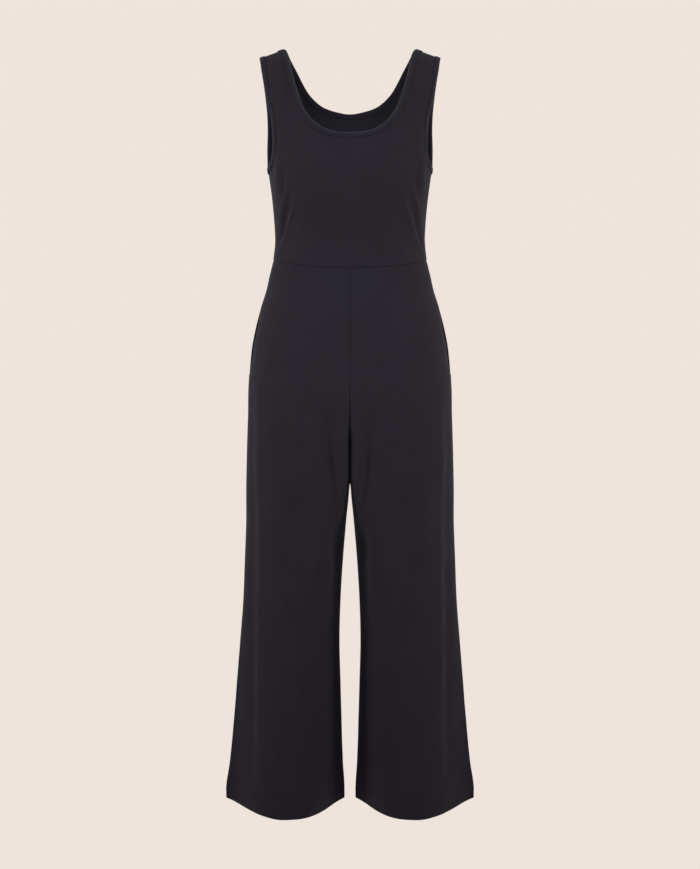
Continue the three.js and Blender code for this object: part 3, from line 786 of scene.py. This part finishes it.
def bag_rings(gape):
    """Loops of the pocket bag from its mouth in the side seam towards the centre
    front: up the near side under the front panel and down the far side, which stands
    off it most in the middle. At the mouth the far side lies on the back panel."""
    s = np.linspace(0, 1, BAG_STATIONS)[:, None]
    u = np.linspace(0, 1, BAG_SIDES)[None, :]
    top = POCKET_TOP - BAG_TOP_FALL * s * s
    foot = POCKET_FOOT + (BAG_FOOT - POCKET_FOOT) * np.minimum(1, 3 * s)
    foot = foot + BAG_FOOT_RISE * s * s
    corner = 0.5 - 0.5 * np.cos(math.pi * u)
    height = foot + (top - foot) * corner
    share = 1 - s * BAG_REACH + 0 * u
    front = leg_point(-1, share, height, gape)
    normal = grid_normals(front, -1)
    start = HALF_WALL + BAG_CLEAR
    swell = 0.15 + 0.85 * np.sin(math.pi * corner)
    opening = 2.4 * BAG_WALL + BAG_ROOM * (1 - 0.7 * s) * swell
    near = front - normal * start
    far = front - normal * (start + opening[..., None])
    back_normal = grid_normals(leg_point(1, share, height), 1)[:1]
    mouth = leg_point(1, BAG_MOUTH_SHARE + 0 * height[:1], height[:1]) - back_normal * start
    blend = ease(3 / BAG_STATIONS, 0, s)[..., None]
    return near, far * (1 - blend) + mouth * blend


def bag_mesh(name, side, gape):
    """A closed pouch wall: the outer loops, the inner loops set in by the wall, joined
    at the mouth, and each closed at the far end."""
    near, far = bag_rings(gape)
    way = far - near
    way /= np.linalg.norm(way, axis=-1, keepdims=True)
    inset = np.array([0, 0, 1.0]) * np.linspace(1, -1, near.shape[1])[None, :, None]
    inner_near = (near + way * BAG_WALL + inset)[:-1]
    inner_far = (far - way * BAG_WALL + inset)[:-1]
    outer = np.concatenate([near, far[:, ::-1]], axis=1)
    inner = np.concatenate([inner_near, inner_far[:, ::-1]], axis=1)[::-1]
    loops = np.concatenate([inner, outer])
    if side < 0:
        loops = mirrored(loops)
    count, size = loops.shape[:2]
    index = np.arange(count * size).reshape(count, size)
    here, ahead = index[:-1], index[1:]
    walls = np.stack([here, np.roll(here, -1, 1), np.roll(ahead, -1, 1), ahead], axis=-1)
    k = np.arange(size // 2 - 1)
    cap = np.stack([k, k + 1, size - 2 - k, size - 1 - k], axis=1)
    faces = np.concatenate([walls.reshape(-1, 4), cap[:, ::-1], cap + index[-1, 0]])
    u = arc_lengths(loops, 0)
    v = arc_lengths(loops, 1)
    uv = np.stack([u, v], axis=-1).reshape(-1, 2) / 1000
    return cloth_object(name, loops.reshape(-1, 3), faces, uv), near


# Materials

class Value:
    """A shader socket that Python's operators can work with."""

    def __init__(self, shader, socket):
        self.shader = shader
        self.socket = socket

    def math(self, operation, *others):
        """Adds a Math node on this value and the others."""
        return self.shader.node("ShaderNodeMath", {"operation": operation}, (self, *others))

    def __add__(self, other):
        return self.math("ADD", other)

    def __sub__(self, other):
        return self.math("SUBTRACT", other)

    def __rsub__(self, other):
        return self.shader.node("ShaderNodeMath", {"operation": "SUBTRACT"}, (other, self))

    def __mul__(self, other):
        return self.math("MULTIPLY", other)

    def __truediv__(self, other):
        return self.math("DIVIDE", other)

    __radd__ = __add__
    __rmul__ = __mul__


class Shader:
    """A material being made: node() adds a node, sets it up and gives its output."""

    def __init__(self, name, constants):
        self.material = bpy.data.materials.new(name)
        self.material.use_nodes = True
        self.tree = self.material.node_tree
        self.surface = next(n for n in self.tree.nodes if n.type == "BSDF_PRINCIPLED")
        for socket, value in constants.items():
            self.surface.inputs[socket].default_value = value

    def node(self, kind, settings=None, inputs=(), output=0):
        node = self.tree.nodes.new(kind)
        for key, value in (settings or {}).items():
            setattr(node, key, value)
        pairs = inputs.items() if isinstance(inputs, dict) else enumerate(inputs)
        for key, value in pairs:
            self.feed(node.inputs[key], value)
        return Value(self, node.outputs[output])

    def feed(self, socket, value):
        """Links a value to a socket, or sets a number or a colour on it."""
        if isinstance(value, Value):
            self.tree.links.new(value.socket, socket)
        else:
            socket.default_value = value

    def cloth_place(self):
        """Texture coordinates in metres along the cloth, apart and together."""
        uv = self.node("ShaderNodeUVMap", {"uv_map": "cloth"})
        parts = self.tree.nodes.new("ShaderNodeSeparateXYZ")
        self.tree.links.new(uv.socket, parts.inputs[0])
        return uv, Value(self, parts.outputs[0]), Value(self, parts.outputs[1])

    def noise(self, place, scale, detail, roughness=0.5):
        """Smooth noise from 0 to 1, at a scale for each metre."""
        inputs = {"Vector": place, "Scale": scale, "Detail": detail, "Roughness": roughness}
        return self.node("ShaderNodeTexNoise", {}, inputs)

    def wave(self, along, period):
        """A sine of the given period in metres, from 0 to 1."""
        return (along * (2 * math.pi / period)).math("SINE") * 0.5 + 0.5

    def mix(self, factor, one, two):
        """A colour between two, from the first at 0 to the second at 1."""
        inputs = {0: factor, 6: (*one, 1.0), 7: (*two, 1.0)}
        return self.node("ShaderNodeMix", {"data_type": "RGBA"}, inputs, output=2)

    def bump(self, height, strength, distance):
        """Tilts the surface's normals as if it had this height."""
        inputs = {"Strength": strength, "Distance": distance, "Height": height}
        normal = self.node("ShaderNodeBump", {}, inputs)
        self.feed(self.surface.inputs["Normal"], normal)


def knit_height(shader, across, down):
    """Loops of a fine jersey: wales across and courses down, every other half loop
    shifted, so that the two waves multiply into small leaning bumps."""
    wale = shader.wave(across, WALE)
    course = shader.wave(down + across * COURSE_LEAN, COURSE)
    return wale * 0.6 + course * wale * 0.4


def knit_material(name, dark, light, sheen, stitched=None):
    """Matte crepe knit: dark speckled colour, fine loops and a crepe grain as bump,
    with a soft sheen. Stitched gives the places across a binding that are sewn: the
    rolled edge lies midway between them, and a painted highlight makes the colour
    paler there, where the edge catches light."""
    shader = Shader(name, {
        "Sheen Weight": sheen, "Sheen Roughness": 0.45,
        "Sheen Tint": (0.78, 0.76, 0.86, 1.0), "Specular IOR Level": 0.08,
    })
    place, across, down = shader.cloth_place()
    speckle = shader.noise(place, SPECKLE_SCALE, 2.0, 0.65)
    grain = shader.noise(place, GRAIN_SCALE, 3.0, 0.6)
    cloudy = shader.noise(place, CLOUD_SCALE, 2.0)
    # The tone differs at random; as speckle and grain also raise the bump, the colour is darkest in
    # the bump's hollows: partly random tone, partly painted shade
    tone = speckle * 0.5 + grain * 0.3 + cloudy * 0.3 - 0.05
    loops = knit_height(shader, across, down)
    height = loops * 0.35 + grain * 0.5 + speckle * 0.35
    if stitched:
        dashes = shader.wave(across, STITCH_LENGTH).math("GREATER_THAN", 0.22)
        edge = (down - sum(stitched) / 2).math("ABSOLUTE")
        # Painted highlight: the colour is made paler towards the rolled edge, where it catches light
        tone = tone * 0.42 + (1 - (edge / PAINTED_HIGHLIGHT_REACH).math("MINIMUM", 1.0)) * 0.45
        for middle in stitched:
            line = (down - middle).math("ABSOLUTE")
            thread = line.math("LESS_THAN", STITCH_HALF_WIDTH) * dashes
            dent = 1 - (line / STITCH_HOLLOW).math("MINIMUM", 1.0)
            height = height - dent * 1.2 + thread * 1.5
            # Painted shade: the colour is darkened in the hollow of each stitch line
            tone = tone - dent * 0.05 + thread * 0.08
    colour = shader.mix(tone.math("MAXIMUM", 0.0).math("MINIMUM", 1.0), dark, light)
    shader.feed(shader.surface.inputs["Base Color"], colour)
    shader.feed(shader.surface.inputs["Roughness"], 0.78 + grain * 0.16)
    shader.bump(height, 0.35, BUMP_DEPTH)
    return shader.material


def stage_material(name, colour, glow):
    """A backdrop that shines evenly in its colour, with a very faint cloudiness."""
    black = (0.0, 0.0, 0.0, 1.0)
    shader = Shader(name, {
        "Base Color": black, "Roughness": 1.0, "Specular IOR Level": 0.0,
        "Emission Strength": glow,
    })
    place = shader.node("ShaderNodeTexCoord", output="Object")
    faint = shader.noise(place, 0.6, 1.0)
    tint = shader.mix(faint * 0.5 + 0.25, [c * 0.99 for c in colour], colour)
    shader.feed(shader.surface.inputs["Emission Color"], tint)
    return shader.material


# Properties

class JumpsuitCloth(bpy.types.PropertyGroup):
    """Colours and finish of the cloth."""

    # The darkest colour falls in the knit's hollows and the lightest on its raised tops: partly
    # random tone, partly painted shade in the hollows and painted highlight on the tops
    dark: FloatVectorProperty(
        name="Darkest colour", description="Colour in the hollows of the knit",
        subtype="COLOR", size=3, default=(0.0036, 0.0033, 0.0053), min=0, max=1)
    light: FloatVectorProperty(
        name="Lightest colour", description="Colour on the top of the loops",
        subtype="COLOR", size=3, default=(0.0100, 0.0089, 0.0136), min=0, max=1)
    sheen: FloatProperty(
        name="Sheen", description="Soft glow of the fibres at grazing angles",
        subtype="FACTOR", default=0.03, min=0, max=1)


class JumpsuitCut(bpy.types.PropertyGroup):
    """Sizes of the cut that a maker would change."""

    pocket_gape: FloatProperty(
        name="Pocket gape", description="How far the front edge of a pocket mouth stands off",
        subtype="DISTANCE", unit="LENGTH", default=0.0046, min=0, max=0.02)
    band_width: FloatProperty(
        name="Binding width", description="Width of the binding on each face of the cloth",
        subtype="DISTANCE", unit="LENGTH", default=0.0078, min=0.004, max=0.03)
    band_wall: FloatProperty(
        name="Binding cloth", description="Thickness of one layer of the binding",
        subtype="DISTANCE", unit="LENGTH", default=0.0010, min=0.0003, max=0.003)


class JumpsuitStage(bpy.types.PropertyGroup):
    """Backdrop, lights and camera."""

    backdrop: FloatVectorProperty(
        name="Backdrop", description="Colour of the floor and of the air around the garment",
        subtype="COLOR", size=3, default=(0.855, 0.776, 0.716), min=0, max=1)
    distance: FloatProperty(
        name="Camera distance", description="How far the camera stands in front of the garment",
        subtype="DISTANCE", unit="LENGTH", default=3.0, min=0.5, max=20)
    height: FloatProperty(
        name="Camera height", description="Height of the camera from the hold point",
        subtype="DISTANCE", unit="LENGTH", default=-0.3302, min=-3, max=3)
    pitch: FloatProperty(
        name="Camera pitch", description="How far the camera looks down",
        subtype="ANGLE", unit="ROTATION", default=math.radians(6.0736), min=-1.5, max=1.5)
    lens: FloatProperty(
        name="Lens", description="Focal length in millimetres on a 36 mm sensor",
        default=71.83, min=10, max=300)


def cloth_material(scene, slot):
    """The knit of a slot, made once."""
    name = "knit_" + slot
    made = bpy.data.materials.get(name)
    if made:
        return made
    cloth = scene.jumpsuit_cloth
    dark, light = np.array(cloth.dark), np.array(cloth.light)
    if slot == "binding":
        band = scene.jumpsuit_cut.band_width
        stitched = (STITCH_PLACE, 2.2 * band)
        return knit_material(name, dark, 2 * light, cloth.sheen, stitched)
    if slot == "pocketing":
        return knit_material(name, dark * 0.7, light * 0.75, cloth.sheen * 0.5)
    return knit_material(name, dark, light, cloth.sheen)


# Operators

class JUMPSUIT_OT_bodice(bpy.types.Operator):
    """Make the front and the back of the bodice"""

    bl_idname = "jumpsuit.bodice"
    bl_label = "Bodice"

    def execute(self, context):
        material = cloth_material(context.scene, "cloth")
        for face, node in ((-1, "bodice_front"), (1, "bodice_back")):
            points = bodice_cloth(face)
            piece = wall_mesh(node + "_cloth", points, HALF_WALL, face)
            hang_panel(piece, node, material)
        return {"FINISHED"}


class JUMPSUIT_OT_trousers(bpy.types.Operator):
    """Make the two fronts and the two backs of the trousers"""

    bl_idname = "jumpsuit.trousers"
    bl_label = "Trousers"

    def execute(self, context):
        material = cloth_material(context.scene, "cloth")
        gape = context.scene.jumpsuit_cut.pocket_gape * 1000
        for face, part in ((-1, "front"), (1, "back")):
            points, inside = leg_cloth(face, gape)
            for side in ("left", "right"):
                node = f"trouser_{part}_{side}"
                piece = wall_mesh(node + "_cloth", points, inside, face, leg=True)
                if side == "right":
                    turn_over(piece)
                hang_panel(piece, node, material)
        return {"FINISHED"}


def turn_over(piece):
    """Mirrors a piece's mesh to the other side and keeps its faces outward."""
    mesh = piece.data
    places = np.empty(3 * len(mesh.vertices), np.float32)
    mesh.vertices.foreach_get("co", places)
    places[0::3] *= -1
    mesh.vertices.foreach_set("co", places)
    mesh.flip_normals()
    mesh.update()


class JUMPSUIT_OT_bindings(bpy.types.Operator):
    """Make the bindings of the neck and of both armholes"""

    bl_idname = "jumpsuit.bindings"
    bl_label = "Bindings"

    def execute(self, context):
        cut = context.scene.jumpsuit_cut
        material = cloth_material(context.scene, "binding")
        band = band_profile(cut.band_width * 1000, cut.band_wall * 1000, 0.3)
        rings = {
            "neck_binding": band_ring("neck", band),
            "armhole_binding_left": band_ring("armhole", band),
        }
        rings["armhole_binding_right"] = mirrored(rings["armhole_binding_left"])
        for node, sections in rings.items():
            piece = ring_mesh(node + "_cloth", sections)
            hand_over(piece, node, material)
            middle = sections.mean(axis=1)
            stride = np.linalg.norm(np.roll(middle, -1, axis=0) - middle, axis=-1)
        return {"FINISHED"}


class JUMPSUIT_OT_pockets(bpy.types.Operator):
    """Make the pocket bags in the side seams"""

    bl_idname = "jumpsuit.pockets"
    bl_label = "Pocket bags"

    def execute(self, context):
        gape = context.scene.jumpsuit_cut.pocket_gape * 1000
        material = cloth_material(context.scene, "pocketing")
        for side, name in ((1, "left"), (-1, "right")):
            node = f"pocket_bag_{name}"
            piece, near = bag_mesh(node + "_cloth", side, gape)
            hand_over(piece, node, material)
        return {"FINISHED"}


def area_light(name, place, size, power, spread):
    """A rectangular light that faces the hips, its beam narrowed to an angle."""
    data = bpy.data.lights.new(name, "AREA")
    data.shape = "RECTANGLE"
    data.size, data.size_y = size
    data.energy = power
    data.spread = math.radians(spread)
    light = bpy.data.objects.new(name, data)
    way = np.array(LIGHT_AIM, float) - np.array(place, float)
    flat = math.hypot(way[0], way[1])
    light.location = place
    light.visible_camera = False
    light.rotation_euler = (math.atan2(flat, -way[2]), 0, math.atan2(way[1], way[0]) - math.pi / 2)
    bpy.context.scene.collection.objects.link(light)


class JUMPSUIT_OT_stage(bpy.types.Operator):
    """Make the pale floor, the light and the camera"""

    bl_idname = "jumpsuit.stage"
    bl_label = "Stage"

    def execute(self, context):
        scene = context.scene
        stage = scene.jumpsuit_stage
        colour = list(stage.backdrop)
        world = bpy.data.worlds.new("studio")
        world.use_nodes = True
        background = world.node_tree.nodes["Background"]
        background.inputs["Color"].default_value = (*colour, 1)
        background.inputs["Strength"].default_value = 1.0
        scene.world = world
        low = float(CAD_BOX[0][2]) - FLOOR_DROP
        corners = [(FLOOR_HALF * i, FLOOR_HALF * j, low) for i, j in FLOOR_CORNERS]
        mesh = bpy.data.meshes.new("floor")
        mesh.from_pydata(corners, [], [(0, 1, 2, 3)])
        floor = bpy.data.objects.new("floor", mesh)
        scene.collection.objects.link(floor)
        mesh.materials.append(stage_material("floor", colour, 1.0))
        area_light("key", (-0.2, -1.6, -0.1), (1.4, 0.9), power=2.5, spread=70)
        for side in (-1, 1):
            place = (1.7 * side, -0.9, 0.1)
            area_light(f"side_{side + 1}", place, (0.5, 1.6), power=7.2, spread=60)
        camera = bpy.data.objects.new("camera", bpy.data.cameras.new("camera"))
        camera.data.lens = stage.lens
        camera.data.sensor_width = 36.0
        camera.location = (0, -stage.distance, stage.height)
        camera.rotation_euler = (math.pi / 2 - stage.pitch, 0, 0)
        scene.collection.objects.link(camera)
        scene.camera = camera
        scene.view_settings.view_transform = "Standard"
        return {"FINISHED"}


class JUMPSUIT_PT_panel(bpy.types.Panel):
    """The jumpsuit's pieces and settings"""

    bl_idname = "JUMPSUIT_PT_panel"
    bl_label = "Jumpsuit"
    bl_space_type = "VIEW_3D"
    bl_region_type = "UI"
    bl_category = "Jumpsuit"

    def draw(self, context):
        scene = context.scene
        for group in (scene.jumpsuit_cloth, scene.jumpsuit_cut, scene.jumpsuit_stage):
            box = self.layout.box()
            for name in group.bl_rna.properties.keys():
                if name not in {"rna_type", "name"}:
                    box.prop(group, name)
        for operator in OPERATORS:
            self.layout.operator(operator.bl_idname)


GROUPS = (
    ("jumpsuit_cloth", JumpsuitCloth),
    ("jumpsuit_cut", JumpsuitCut),
    ("jumpsuit_stage", JumpsuitStage),
)
OPERATORS = (
    JUMPSUIT_OT_stage,
    JUMPSUIT_OT_bodice,
    JUMPSUIT_OT_trousers,
    JUMPSUIT_OT_bindings,
    JUMPSUIT_OT_pockets,
)


def register():
    """Adds the settings, the operators and the panel."""
    for name, group in GROUPS:
        bpy.utils.register_class(group)
        setattr(bpy.types.Scene, name, PointerProperty(type=group))
    for operator in OPERATORS:
        bpy.utils.register_class(operator)
    bpy.utils.register_class(JUMPSUIT_PT_panel)


def unregister():
    """Removes them again, last first."""
    bpy.utils.unregister_class(JUMPSUIT_PT_panel)
    for operator in reversed(OPERATORS):
        bpy.utils.unregister_class(operator)
    for name, group in reversed(GROUPS):
        delattr(bpy.types.Scene, name)
        bpy.utils.unregister_class(group)


def main():
    """Makes the whole scene."""
    register()
    bpy.ops.jumpsuit.stage()
    bpy.ops.jumpsuit.bodice()
    bpy.ops.jumpsuit.trousers()
    bpy.ops.jumpsuit.bindings()
    bpy.ops.jumpsuit.pockets()


if __name__ == "__main__":
    main()
